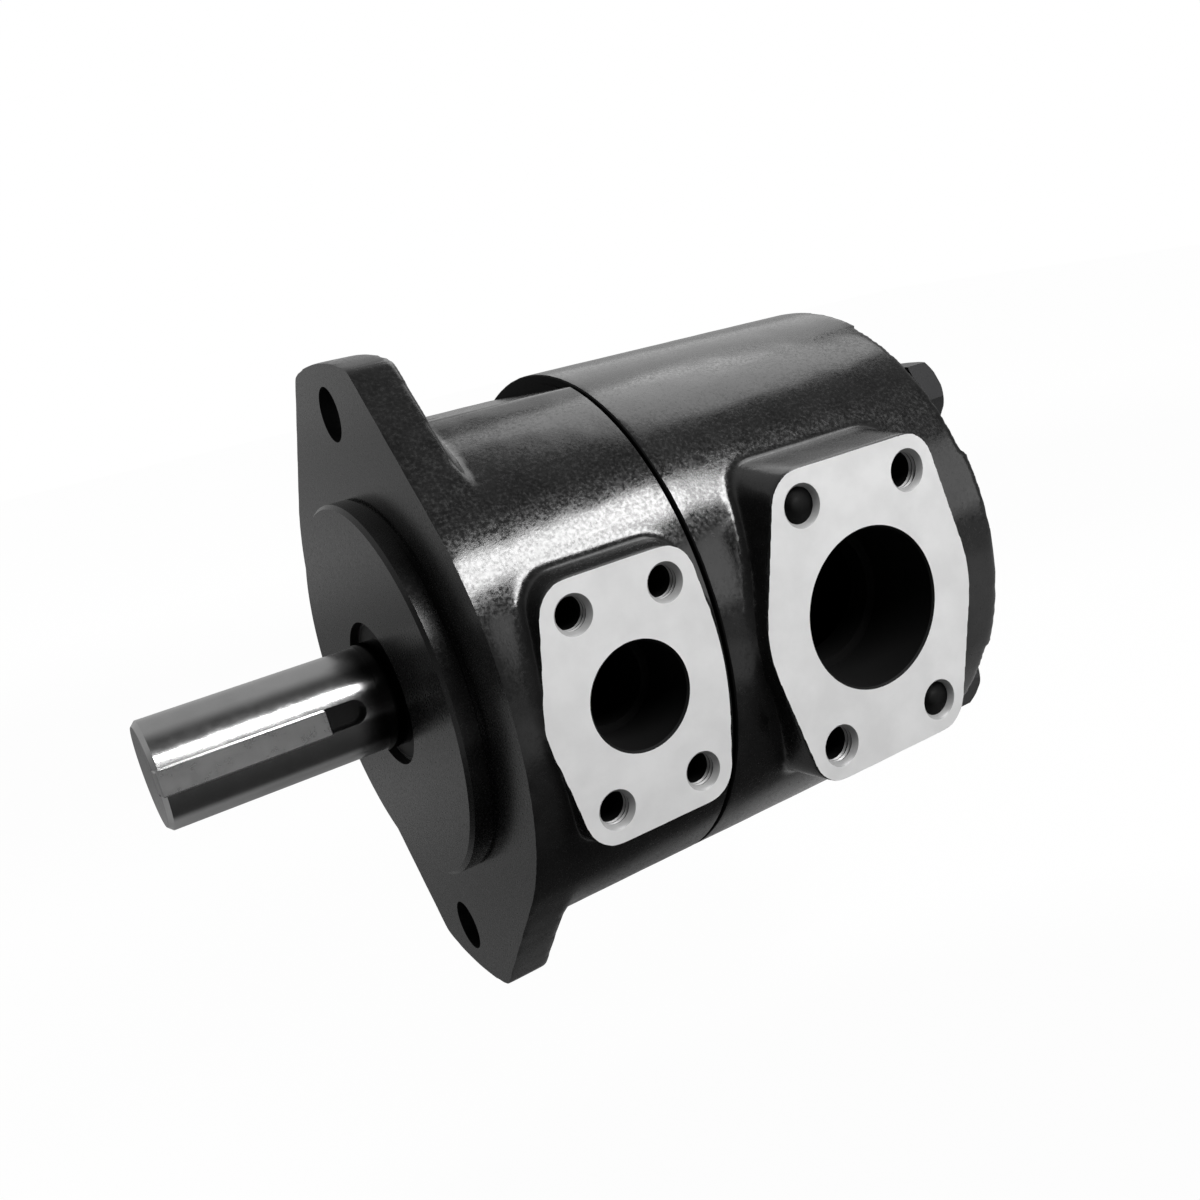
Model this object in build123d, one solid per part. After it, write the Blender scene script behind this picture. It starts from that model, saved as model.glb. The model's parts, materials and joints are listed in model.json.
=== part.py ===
from build123d import *
import math
import os

# Balanced hydraulic vane pump with a two-bolt mounting flange and two side ports.
# Millimetres. Origin: centre of the flange's mounting face, on the shaft axis.
# +X runs from the flange to the rear cover, -Y faces the two ports, +Z is up.

# ---- mounting flange and pilot ----
flange_t = 15.5
mount_spacing = 181.0
mount_hole_r = 8.75
ear_margin = 16.0
ear_corner_r = 5.0
ear_corner_y = 23.5
pilot_r = 63.5
pilot_h = 8.0
pilot_chamfer = 1.2
flange_root_fillet = 4.0
bolt_relief_r = 14.5
bolt_relief_depth = 14.0

# ---- housings ----
bolt_inset = 13.5
flat_depth = 4.0
seam_x = 70.5
seam_chamfer = 0.8
cover_edge_r = 3.5
cover_wall = 24.0
chamber_end_gap = 9.0
chamber_ledge = 4.0
cavity_gap = 2.5

# ---- outlet port ----
outlet_x = 38.5
outlet_rise = 1.5
outlet_r = 15.9
outlet_mouth = 22.0
outlet_passage_r = 13.2
outlet_bolt_x = 30.2
outlet_bolt_z = 58.7
outlet_bolt_r = 5.55
outlet_pad_r = 31.3
outlet_corner_r = 11.1

# ---- inlet port ----
inlet_x = 123.5
inlet_rise = 6.5
inlet_r = 25.4
inlet_mouth = 28.0
inlet_passage_r = 22.0
inlet_bolt_x = 42.9
inlet_bolt_z = 77.8
inlet_bolt_r = 6.35
inlet_pad_r = 42.5
inlet_corner_r = 12.0

port_bolt_depth = 27.0
passage_floor = 5.0
port_edge_chamfer = 0.7
pad_draft = 4.0
pad_root = 21.5

# ---- cover bolts ----
cover_bolt_wall = 10.5
cover_bolt_r = 8.0
cover_bolt_gap = 0.4
cover_bolt_end_gap = 2.0
cover_bolt_flats = 24.0
cover_bolt_head_t = 10.0
cover_bolt_grip = 26.0
bolt_seat_margin = 3.0
bolt_seat_depth = 2.0
head_chamfer = 1.6

# ---- shaft ----
shaft_end_x = -82.0
shaft_r = 17.46
shaft_chamfer = 1.5
seal_journal_r = 18.0
seal_journal_x = -13.0
key_w = 7.94
key_length = 50.8
keyway_length = 63.5
keyway_depth = 4.2
key_chamfer = 0.4
key_angle = 8.0
shoulder_r = 23.0
shoulder_w = 6.0
neck_r = 14.0
rear_journal_r = 13.0
journal_chamfer = 1.5
plate_shaft_gap = 3.0

# ---- shaft seal ----
seal_r = 24.6
seal_w = 9.5
seal_recess = 3.0
seal_stop_w = 3.0
seal_stop_h = 2.5
seal_case_t = 1.2
seal_web_gap = 2.6
lip_t = 2.4
seal_gap = 0.05
spring_wire_r = 0.9

# ---- ball bearing ----
bearing_bore_r = 20.0
bearing_r = 40.0
bearing_w = 18.0
bearing_gap = 7.5
ball_r = 6.3
ball_count = 9
race_clearance = 0.15
race_land = 3.4
cage_t = 3.0
cage_w = 16.0
pocket_clearance = 0.12
ring_t = 2.4
ring_gap = 12.0
ring_land = 1.0
ring_radial = 5.0
ring_groove_depth = 1.8
snap_t = 1.75
snap_gap = 6.0
snap_radial = 3.4
snap_groove_depth = 1.0

# ---- vane cartridge ----
cartridge_r = 56.0
plate_t = 16.0
plate_socket = 18.5
cam_w = 38.0
cam_wall = 10.0
cam_lift = 5.5
cam_axis_angle = 0.0
cam_dwell = 36.0
rotor_gap = 0.5
rotor_side_gap = 0.05
spline_lead = 2.0
vane_count = 10
vane_t = 2.4
rotor_wall = 7.4
vane_tip_gap = 0.1
vane_side_gap = 0.02
vane_inward_travel = 1.0
vane_first_angle = 18.0
vane_lip = 0.7
vane_dip = 0.2
slot_foot_r = 1.9
spline_teeth = 14
spline_root_r = 14.5
spline_tip_r = 16.0
spline_gap = 0.04
tooth_foot = 0.32
tooth_tip = 0.18
kidney_undercut = 2.5
kidney_overlap = 5.0
kidney_span = 30.0
kidney_pocket_depth = 4.0
screw_inset = 6.0
screw_gap = 0.3
screw_end_gap = 3.0
screw_r = 3.0
screw_head_r = 5.0
screw_head_t = 6.0
pin_r = 2.5
fastener_angle = 12.0
bore_gap = 0.05

# ---- O-rings ----
ring_section_r = 1.5
groove_side_gap = 0.3
body_seal_inset = 2.3
body_seal_section_r = 1.4
groove_land = 2.4
groove_w = 4.6
backup_w = 1.4

# ---- rear boss and bushing ----
boss_wall = 14.0
boss_face_gap = 3.0
boss_relief = 2.0
oil_pocket = 4.0
bushing_wall = 4.0
bushing_length = 24.0

# ---- radii that follow from the sizes above ----
cover_bolt_circle_r = cartridge_r + cover_bolt_r + cover_bolt_wall
body_r = cover_bolt_circle_r + bolt_inset
flat_z = body_r - flat_depth
flange_end_r = mount_spacing / 2 + ear_margin
outlet_face_y = body_r + outlet_rise
inlet_face_y = body_r + inlet_rise
cover_bolt_hole_r = cover_bolt_r + cover_bolt_gap
bolt_seat_r = cover_bolt_flats / 2 + bolt_seat_margin
cover_cavity_r = cartridge_r + cavity_gap
body_seal_r = cover_cavity_r + body_seal_inset
cam_minor_r = cartridge_r - cam_wall - cam_lift
rotor_r = cam_minor_r - rotor_gap
kidney_inner_r = rotor_r - kidney_undercut
kidney_outer_r = rotor_r + kidney_overlap
screw_circle_r = cartridge_r - screw_inset
boss_r = rear_journal_r + bushing_wall + boss_wall
boss_seal_r = boss_r - boss_wall / 2

# ---- places along the shaft that follow from the sizes above ----
seal_x0 = -pilot_h + seal_recess
seal_x1 = seal_x0 + seal_w
bearing_x0 = seal_x1 + bearing_gap
bearing_x1 = bearing_x0 + bearing_w
ring_x1 = bearing_x1 + ring_t
chamber_x0 = ring_x1 + ring_land
plate_x0 = seam_x - plate_socket
cam_x0 = plate_x0 + plate_t
cam_x1 = cam_x0 + cam_w
inlet_plate_x1 = cam_x1 + plate_t
rotor_x0 = cam_x0 + rotor_side_gap
rotor_x1 = cam_x1 - rotor_side_gap
shoulder_x1 = bearing_x1 + shoulder_w
bushing_x0 = inlet_plate_x1 + boss_face_gap
bushing_x1 = bushing_x0 + bushing_length
bushing_bore_r = rear_journal_r + bore_gap
bushing_r = bushing_bore_r + bushing_wall
ball_circle_r = (bearing_bore_r + bearing_r) / 2
keyway_end_x = shaft_end_x + keyway_length
cavity_x1 = bushing_x1 + oil_pocket + chamber_end_gap
cover_end_x = cavity_x1 + cover_wall
cover_bolt_x0 = seam_x - cover_bolt_grip
cover_bolt_x1 = cover_end_x - bolt_seat_depth
bolt_angles = [45.0, 135.0, 225.0, 315.0]

CX = (Align.CENTER, Align.CENTER, Align.MIN)


def rod(radius, x0, x1, y=0.0, z=0.0):
    """A cylinder along X from x0 to x1."""
    return Pos(x0, y, z) * Rot(0, 90, 0) * Cylinder(radius, x1 - x0, align=CX)


def ring(outer, inner, x0, x1):
    """A plain ring round the shaft axis."""
    return rod(outer, x0, x1) - rod(inner, x0, x1)


def polar(radius, angle):
    """Y and Z of a point at a radius, with the angle counted from +Y to +Z."""
    turn = math.radians(angle)
    return radius * math.cos(turn), radius * math.sin(turn)


def turned(points):
    """Solid turned about the shaft axis from (x, radius) points."""
    return revolve(make_face(Polyline(*points, close=True)), Axis.X)


def torus(ring_r, section_r, x):
    """An O-ring or coiled spring ring round the shaft axis."""
    section = Plane.XY * Pos(x, ring_r) * Circle(section_r)
    return revolve(section, Axis.X)


def save(shape, name):
    """Write one node."""
    export_step(shape, "parts/" + name + ".step")


# ---- flange and port outlines ----

def tangent_turn(first, second):
    """Direction, in degrees, of the outer tangent points on two round corners in turn."""
    du = second[0] - first[0]
    dv = second[1] - first[1]
    lean = math.acos((first[2] - second[2]) / math.hypot(du, dv))
    return math.degrees(math.atan2(dv, du) - lean)


def belt(rounds, bows=()):
    """Outline drawn tight round corners (u, v, radius), taken anticlockwise.

    A link listed in bows is an arc about the origin that both of its corners touch from inside.
    """
    count = len(rounds)
    links = []
    for i in range(count):
        first = rounds[i]
        second = rounds[(i + 1) % count]
        if i in bows:
            links.append((math.degrees(math.atan2(first[1], first[0])),
                          math.degrees(math.atan2(second[1], second[0]))))
        else:
            links.append((tangent_turn(first, second), tangent_turn(first, second)))
    edges = []
    for i in range(count):
        u, v, radius = rounds[i]
        start = links[i - 1][1]
        sweep = (links[i][0] - start) % 360.0
        edges.append(CenterArc((u, v), radius, start, sweep))
        if i in bows:
            reach = math.hypot(u, v) + radius
            edges.append(CenterArc((0, 0), reach, links[i][0], (links[i][1] - links[i][0]) % 360.0))
        else:
            following = CenterArc((rounds[(i + 1) % count][0], rounds[(i + 1) % count][1]),
                                  rounds[(i + 1) % count][2], links[i][1], 1.0)
            edges.append(Line(edges[-1] @ 1, following @ 0))
    return make_face(edges)


def flange_outline():
    """Round flange drawn out to two ears, each closed by an arc about the shaft."""
    corner_z = math.sqrt((flange_end_r - ear_corner_r) ** 2 - ear_corner_y ** 2)
    right = (ear_corner_y, corner_z, ear_corner_r)
    left = (-ear_corner_y, corner_z, ear_corner_r)
    low_left = (-ear_corner_y, -corner_z, ear_corner_r)
    low_right = (ear_corner_y, -corner_z, ear_corner_r)
    barrel = (0.0, 0.0, body_r)
    return belt([right, left, barrel, low_left, low_right, barrel], bows=(0, 3))


def pad_outline(pad_r, corner_r, bolt_x, bolt_z):
    """Outline of a port face: a round about the bore joined to one about each bolt."""
    half_x = bolt_x / 2
    half_z = bolt_z / 2
    centre = (0.0, 0.0, pad_r)
    return belt([(half_x, half_z, corner_r), (-half_x, half_z, corner_r), centre,
                 (-half_x, -half_z, corner_r), (half_x, -half_z, corner_r), centre])


def port_plane(x, face_y):
    """Plane on a port face, looking out of the housing."""
    return Plane(origin=(x, -face_y, 0), x_dir=(1, 0, 0), z_dir=(0, -1, 0))


def make_pad(plane, outline, depth, x0, x1):
    """Drafted port pad, squared off where it meets the end of its housing."""
    pad = extrude(plane * outline, amount=-depth, taper=-pad_draft)
    return pad & rod(2 * body_r, x0, x1)


def port_hole(plane, radius, depth, u=0.0, v=0.0):
    """Drilling from a port face with a broken edge at its mouth."""
    drill = plane * Pos(u, v, -depth) * Cylinder(radius, depth, align=CX)
    mouth = plane * Pos(u, v, -port_edge_chamfer) * Cone(
        radius, radius + port_edge_chamfer, port_edge_chamfer, align=CX)
    return drill + mouth


def cut_port(housing, plane, radius, mouth, passage_r, depth, bolt_x, bolt_z, bolt_r):
    """Cut the port's bore, the cored passage below it and its four bolt holes."""
    housing -= port_hole(plane, radius, mouth)
    housing -= plane * Pos(0, 0, -depth) * Cylinder(passage_r, depth, align=CX)
    for side_x in (-1, 1):
        for side_z in (-1, 1):
            housing -= port_hole(plane, bolt_r, port_bolt_depth, side_x * bolt_x / 2, side_z * bolt_z / 2)
    return housing


# ---- housings ----

def make_front_body():
    """Flange, pilot and front half of the housing in one casting."""
    flange = extrude(Plane.YZ * flange_outline(), amount=flange_t)
    barrel = rod(body_r, 0, seam_x)
    barrel = chamfer(barrel.edges().sort_by(Axis.X)[-1], seam_chamfer)
    barrel += root_blend()
    side = body_r + flange_root_fillet - flat_z
    for sign in (-1, 1):
        barrel -= Pos(flange_t, 0, sign * (flat_z + side / 2)) * Box(
            seam_x - flange_t, 2 * body_r, side, align=(Align.MIN, Align.CENTER, Align.CENTER))
    body = flange + barrel
    plane = port_plane(outlet_x, outlet_face_y)
    outline = pad_outline(outlet_pad_r, outlet_corner_r, outlet_bolt_x, outlet_bolt_z)
    body += make_pad(plane, outline, pad_root, 0, seam_x)
    pilot = rod(pilot_r, -pilot_h, 0)
    pilot = chamfer(pilot.edges().sort_by(Axis.X)[0], pilot_chamfer)
    body += pilot
    for sign in (-1, 1):
        z = sign * mount_spacing / 2
        body -= rod(mount_hole_r, 0, flange_t, 0, z)
        body -= rod(bolt_relief_r, flange_t, flange_t + bolt_relief_depth, 0, z)
    body -= turned(front_cavity_points())
    body -= rod(bearing_r + ring_groove_depth, bearing_x1, ring_x1)
    half_groove = body_seal_section_r + groove_side_gap
    body -= ring(body_seal_r + half_groove, body_seal_r - half_groove,
                 seam_x - 2 * body_seal_section_r, seam_x)
    for angle in bolt_angles:
        y, z = polar(cover_bolt_circle_r, angle)
        body -= rod(cover_bolt_r, cover_bolt_x0, seam_x, y, z)
    depth = outlet_face_y - bearing_r - passage_floor
    return cut_port(body, plane, outlet_r, outlet_mouth, outlet_passage_r, depth,
                    outlet_bolt_x, outlet_bolt_z, outlet_bolt_r)


def root_blend():
    """Concave blend from the back of the ears down to the barrel."""
    foot = flange_t + flange_root_fillet
    crown = body_r + flange_root_fillet
    lean = flange_root_fillet * (1 - math.sqrt(0.5))
    hollow = ThreePointArc((flange_t, crown), (flange_t + lean, body_r + lean), (foot, body_r))
    inner = body_r - flange_root_fillet
    rest = Polyline((foot, body_r), (foot, inner), (flange_t, inner), (flange_t, crown))
    blend = revolve(make_face([*hollow.edges(), *rest.edges()]), Axis.X)
    return blend & extrude(Plane.YZ.offset(flange_t) * flange_outline(), amount=flange_root_fillet)


def front_cavity_points():
    """Seal bore, bearing pocket, pressure chamber and cartridge socket, front to rear."""
    seal_stop_r = seal_r - seal_stop_h
    stop_x1 = seal_x1 + seal_stop_w
    free_r = bearing_bore_r + snap_radial + seal_stop_h
    socket_r = cartridge_r + bore_gap
    chamber_r = cartridge_r - chamber_ledge
    return [
        (-pilot_h, 0), (-pilot_h, seal_r), (seal_x1, seal_r), (seal_x1, seal_stop_r),
        (stop_x1, seal_stop_r), (stop_x1, free_r), (bearing_x0, free_r), (bearing_x0, bearing_r),
        (chamber_x0, bearing_r), (chamber_x0, chamber_r), (plate_x0, chamber_r), (plate_x0, socket_r),
        (seam_x, socket_r), (seam_x, 0),
    ]


def make_rear_cover():
    """Rear half of the housing with the suction chamber and the bushing's boss."""
    cover = rod(body_r, seam_x, cover_end_x)
    cover = fillet(cover.edges().sort_by(Axis.X)[-1], cover_edge_r)
    cover = chamfer(cover.edges().sort_by(Axis.X)[0], seam_chamfer)
    plane = port_plane(inlet_x, inlet_face_y)
    outline = pad_outline(inlet_pad_r, inlet_corner_r, inlet_bolt_x, inlet_bolt_z)
    cover += make_pad(plane, outline, pad_root + inlet_rise - outlet_rise, seam_x, cover_end_x)
    cover -= rod(cover_cavity_r, seam_x, cavity_x1)
    boss = (rod(boss_r, inlet_plate_x1, cavity_x1)
            - rod(rear_journal_r + boss_relief, inlet_plate_x1, bushing_x0))
    boss -= rod(bushing_r, bushing_x0, bushing_x1)
    boss -= rod(rear_journal_r, bushing_x1, bushing_x1 + oil_pocket)
    half_groove = ring_section_r + groove_side_gap
    boss -= ring(boss_seal_r + half_groove, boss_seal_r - half_groove,
                 inlet_plate_x1, inlet_plate_x1 + 2 * ring_section_r)
    cover += boss
    for angle in bolt_angles:
        y, z = polar(cover_bolt_circle_r, angle)
        cover -= rod(cover_bolt_hole_r, seam_x, cover_end_x, y, z)
        cover -= rod(bolt_seat_r, cover_bolt_x1, cover_end_x, y, z)
    depth = inlet_face_y - boss_r - passage_floor
    return cut_port(cover, plane, inlet_r, inlet_mouth, inlet_passage_r, depth,
                    inlet_bolt_x, inlet_bolt_z, inlet_bolt_r)


def make_cover_bolts():
    """Four hexagon bolts that clamp the cover to the front body."""
    bolts = []
    for angle in bolt_angles:
        y, z = polar(cover_bolt_circle_r, angle)
        head = extrude(Plane.YZ.offset(cover_bolt_x1) * Pos(y, z) * RegularPolygon(
            cover_bolt_flats / 2, 6, major_radius=False), amount=cover_bolt_head_t)
        corner_r = cover_bolt_flats / math.sqrt(3)
        crown = rod(corner_r, cover_bolt_x1, cover_bolt_x1 + cover_bolt_head_t, y, z)
        crown = chamfer(crown.edges().sort_by(Axis.X)[-1], head_chamfer)
        shank = rod(cover_bolt_r, cover_bolt_x0 + cover_bolt_end_gap, cover_bolt_x1, y, z)
        bolts.append((head & crown) + shank)
    return Compound(children=bolts)


# ---- shaft, key and spline ----

def spline_section(grow):
    """Toothed outline shared by the shaft's spline and, grown by the fit, the rotor's bore."""
    step = 2 * math.pi / spline_teeth
    points = []
    for tooth in range(spline_teeth):
        for share, radius in ((-tooth_foot, spline_root_r), (-tooth_tip, spline_tip_r),
                              (tooth_tip, spline_tip_r), (tooth_foot, spline_root_r)):
            turn = (tooth + share) * step
            points.append(((radius + grow) * math.cos(turn), (radius + grow) * math.sin(turn)))
    return make_face(Polyline(*points, close=True))


def key_box(x0, x1, low, high):
    """A key-wide block from one radius to another, on the keyed side of the shaft."""
    block = Pos(x0, -(low + high) / 2, 0) * Box(
        x1 - x0, high - low, key_w, align=(Align.MIN, Align.CENTER, Align.CENTER))
    return Rot(-key_angle, 0, 0) * block


def make_drive_shaft():
    """One-piece shaft: keyed end, seal journal, bearing seat, spline and rear journal."""
    seat_x0 = bearing_x0 - 2 * snap_t
    points = [
        (shaft_end_x, 0), (shaft_end_x, shaft_r - shaft_chamfer), (shaft_end_x + shaft_chamfer, shaft_r),
        (seal_journal_x, shaft_r), (seal_journal_x, seal_journal_r), (seat_x0, seal_journal_r),
        (seat_x0, bearing_bore_r), (bearing_x1, bearing_bore_r), (bearing_x1, shoulder_r),
        (shoulder_x1, shoulder_r), (shoulder_x1, neck_r), (rotor_x1, neck_r), (rotor_x1, rear_journal_r),
        (bushing_x1 - journal_chamfer, rear_journal_r), (bushing_x1, rear_journal_r - journal_chamfer),
        (bushing_x1, 0),
    ]
    shaft = turned(points)
    shaft += extrude(Plane.YZ.offset(rotor_x0 - spline_lead) * spline_section(0.0),
                     amount=rotor_x1 - rotor_x0 + spline_lead)
    shaft -= ring(shoulder_r, bearing_bore_r - snap_groove_depth, bearing_x0 - snap_t, bearing_x0)
    end_r = key_w / 2
    slot = key_box(shaft_end_x, keyway_end_x - end_r, shaft_r - keyway_depth, shaft_r + keyway_depth)
    cutter = Pos(keyway_end_x - end_r, -shaft_r - keyway_depth, 0) * Rot(-90, 0, 0) * Cylinder(
        end_r, 2 * keyway_depth, align=CX)
    return shaft - slot - Rot(-key_angle, 0, 0) * cutter


def make_shaft_key():
    """Square parallel key seated on the floor of the keyway."""
    floor_r = shaft_r - keyway_depth
    key = key_box(shaft_end_x, shaft_end_x + key_length, floor_r, floor_r + key_w)
    return chamfer(key.edges().filter_by(GeomType.LINE), key_chamfer)


# ---- shaft seal ----

def make_seal_case():
    """Pressed steel case of the shaft seal, L-shaped in section."""
    outer = ring(seal_r, seal_r - seal_case_t, seal_x0, seal_x1)
    web = ring(seal_r, seal_journal_r + seal_web_gap, seal_x1 - seal_case_t, seal_x1)
    return outer + web


def lip_spring():
    """Space of the garter spring, half sunk in the back of the lip."""
    web_x = seal_x1 - seal_case_t
    back_r = seal_journal_r + seal_gap + lip_t
    return torus(back_r + spring_wire_r / 2, spring_wire_r, (seal_x0 + web_x) / 2)


def make_seal_lip():
    """Rubber ring in the case, with a sealing lip that hugs the seal journal."""
    lip_r = seal_journal_r + seal_gap
    back_r = lip_r + lip_t
    web_x = seal_x1 - seal_case_t
    top_r = seal_r - seal_case_t
    wall = lip_t * 0.7
    lip = turned([
        (seal_x0, lip_r), (seal_x0, top_r), (seal_x0 + wall, top_r), (seal_x0 + wall, back_r),
        (web_x, back_r), (web_x, lip_r + lip_t / 2), ((seal_x0 + web_x) / 2, lip_r),
    ])
    return lip - lip_spring()


# ---- ball bearing ----

bearing_mid_x = (bearing_x0 + bearing_x1) / 2


def make_outer_race():
    race = ring(bearing_r, ball_circle_r + race_land, bearing_x0, bearing_x1)
    return race - torus(ball_circle_r, ball_r + race_clearance, bearing_mid_x)


def make_inner_race():
    race = ring(ball_circle_r - race_land, bearing_bore_r, bearing_x0, bearing_x1)
    return race - torus(ball_circle_r, ball_r + race_clearance, bearing_mid_x)


def ball_places():
    return [polar(ball_circle_r, 360.0 * i / ball_count) for i in range(ball_count)]


def make_balls():
    return Compound(children=[Pos(bearing_mid_x, y, z) * Sphere(ball_r) for y, z in ball_places()])


def make_cage():
    """Ball cage: a ring with one round pocket for each ball."""
    cage = ring(ball_circle_r + cage_t / 2, ball_circle_r - cage_t / 2,
                bearing_mid_x - cage_w / 2, bearing_mid_x + cage_w / 2)
    for i in range(ball_count):
        pocket = Pos(bearing_mid_x, 0, 0) * Cylinder(
            ball_r + pocket_clearance, ball_circle_r + cage_t, align=CX)
        cage -= Rot(360.0 * i / ball_count - 90.0, 0, 0) * pocket
    return cage


def open_ring(outer, inner, x0, x1, gap):
    """A retaining ring with its gap at the top."""
    middle = (outer + inner) / 2
    cut = Pos(x0, 0, middle) * Box(
        x1 - x0, gap, 2 * (outer - inner), align=(Align.MIN, Align.CENTER, Align.CENTER))
    return ring(outer, inner, x0, x1) - cut


def make_bearing_retaining_ring():
    outer = bearing_r + ring_groove_depth
    return open_ring(outer, outer - ring_radial, bearing_x1, ring_x1, ring_gap)


def make_shaft_snap_ring():
    inner = bearing_bore_r - snap_groove_depth
    return open_ring(inner + snap_radial, inner, bearing_x0 - snap_t, bearing_x0, snap_gap)


# ---- vane cartridge ----

def cam_radius(angle):
    """Radius of the cam ring's track: dwells at both ends, with a smooth rise between."""
    from_minor = abs((angle - cam_axis_angle + 90.0) % 180.0 - 90.0)
    share = (from_minor - cam_dwell / 2) / (90.0 - cam_dwell)
    share = min(max(share, 0.0), 1.0)
    return cam_minor_r + cam_lift * (1.0 - math.cos(math.pi * share)) / 2


def cam_track():
    """Closed track of the cam ring: four dwell arcs joined by four smooth rises."""
    edges = []
    for quarter in range(4):
        middle = cam_axis_angle + 90.0 * quarter
        radius = cam_radius(middle)
        edges.append(CenterArc((0, 0), radius, middle - cam_dwell / 2, cam_dwell))
        start = middle + cam_dwell / 2
        stop = middle + 90.0 - cam_dwell / 2
        steps = 8
        points = [polar(cam_radius(start + (stop - start) * i / steps), start + (stop - start) * i / steps)
                  for i in range(steps + 1)]
        tangents = [polar(1.0, start + 90.0), polar(1.0, stop + 90.0)]
        edges.append(Spline(*points, tangents=tangents))
    return make_face(edges)


def fastener_places(offset):
    """Two opposite places beside the cam ring's thick, minor-radius sides."""
    return [polar(screw_circle_r, cam_axis_angle + offset),
            polar(screw_circle_r, cam_axis_angle + 180.0 + offset)]


def make_cam_ring():
    """Hardened ring whose inner track moves the vanes in and out twice a turn."""
    cam = rod(cartridge_r, cam_x0, cam_x1)
    cam -= extrude(Plane.YZ.offset(cam_x0) * cam_track(), amount=cam_w)
    for y, z in fastener_places(fastener_angle):
        cam -= rod(screw_r + screw_gap, cam_x0, cam_x1, y, z)
    for y, z in fastener_places(-fastener_angle):
        cam -= rod(pin_r, cam_x0, cam_x1, y, z)
    return cam


vane_angles = [vane_first_angle + 360.0 * i / vane_count for i in range(vane_count)]
vane_tip_r = cam_minor_r - vane_tip_gap
slot_floor_r = spline_tip_r + rotor_wall
vane_foot_r = slot_floor_r + vane_inward_travel


def make_rotor():
    """Slotted rotor on the shaft's spline, with a round well under each vane."""
    rotor = rod(rotor_r, rotor_x0, rotor_x1)
    width = rotor_x1 - rotor_x0
    for angle in vane_angles:
        slot = Pos(rotor_x0, slot_floor_r, 0) * Box(
            width, rotor_r, vane_t + 2 * vane_side_gap, align=(Align.MIN, Align.MIN, Align.CENTER))
        rotor -= Rot(angle, 0, 0) * slot
        y, z = polar(slot_floor_r, angle)
        rotor -= rod(slot_foot_r, rotor_x0, rotor_x1, y, z)
    bore = spline_section(spline_gap)
    return rotor - extrude(Plane.YZ.offset(rotor_x0) * bore, amount=width)


def make_vane(angle):
    """Flat vane with two bevelled lips at its tip, standing in its slot."""
    half = vane_t / 2
    outline = make_face(Polyline(
        (vane_foot_r, -half), (vane_tip_r - vane_lip, -half), (vane_tip_r, -half / 2),
        (vane_tip_r - vane_dip, 0), (vane_tip_r, half / 2), (vane_tip_r - vane_lip, half),
        (vane_foot_r, half), close=True))
    vane = extrude(Plane.YZ.offset(rotor_x0) * outline, amount=rotor_x1 - rotor_x0)
    return Rot(angle, 0, 0) * vane


def kidney(middle, x0, x1):
    """Kidney-shaped port cut round the shaft axis."""
    width = kidney_outer_r - kidney_inner_r
    track_r = (kidney_outer_r + kidney_inner_r) / 2
    slab = Plane.XY * Pos((x0 + x1) / 2, track_r) * Rectangle(x1 - x0, width)
    arc = Rot(middle - kidney_span / 2, 0, 0) * revolve(slab, Axis.X, kidney_span)
    for side in (-1, 1):
        y, z = polar(track_r, middle + side * kidney_span / 2)
        arc += rod(width / 2, x0, x1, y, z)
    return arc


def pressure_angles():
    return [cam_axis_angle - 45.0, cam_axis_angle + 135.0]


def suction_angles():
    return [cam_axis_angle + 45.0, cam_axis_angle + 225.0]


def make_outlet_side_plate():
    """Pressure plate: two through ports, two shallow suction pockets and a rim groove."""
    plate = rod(cartridge_r, plate_x0, cam_x0) - rod(neck_r + plate_shaft_gap, plate_x0, cam_x0)
    for angle in pressure_angles():
        plate -= kidney(angle, plate_x0, cam_x0)
    for angle in suction_angles():
        plate -= kidney(angle, cam_x0 - kidney_pocket_depth, cam_x0)
    groove_x0 = rim_groove_x0()
    plate -= ring(body_r, cartridge_r + bore_gap - 2 * ring_section_r, groove_x0, groove_x0 + groove_w)
    for y, z in fastener_places(fastener_angle):
        plate -= rod(screw_r, plate_x0 + screw_end_gap, cam_x0, y, z)
    for y, z in fastener_places(-fastener_angle):
        plate -= rod(pin_r, cam_x0 - plate_t / 3, cam_x0, y, z)
    return plate


def rim_groove_x0():
    return cam_x0 - groove_land - groove_w


def make_inlet_side_plate():
    """Suction plate: two through ports and two shallow pressure pockets."""
    plate = (rod(cartridge_r, cam_x1, inlet_plate_x1)
             - rod(rear_journal_r + boss_relief, cam_x1, inlet_plate_x1))
    for angle in suction_angles():
        plate -= kidney(angle, cam_x1, inlet_plate_x1)
    for angle in pressure_angles():
        plate -= kidney(angle, cam_x1, cam_x1 + kidney_pocket_depth)
    for y, z in fastener_places(fastener_angle):
        plate -= rod(screw_r + screw_gap, cam_x1, inlet_plate_x1, y, z)
        plate -= rod(screw_head_r + screw_gap, inlet_plate_x1 - screw_head_t, inlet_plate_x1, y, z)
    for y, z in fastener_places(-fastener_angle):
        plate -= rod(pin_r, cam_x1, cam_x1 + plate_t / 3, y, z)
    return plate


def make_cartridge_screws():
    """Two long socket screws that hold the cartridge together."""
    screws = []
    head_x0 = inlet_plate_x1 - screw_head_t
    for y, z in fastener_places(fastener_angle):
        tip_x = plate_x0 + screw_end_gap + screw_gap
        screw = rod(screw_r, tip_x, head_x0, y, z) + rod(screw_head_r, head_x0, inlet_plate_x1, y, z)
        outline = Plane.YZ.offset(inlet_plate_x1 - screw_head_t / 2) * Pos(y, z) * RegularPolygon(
            screw_head_r / 2, 6)
        socket = extrude(outline, amount=screw_head_t / 2)
        screws.append(screw - socket)
    return Compound(children=screws)


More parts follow.
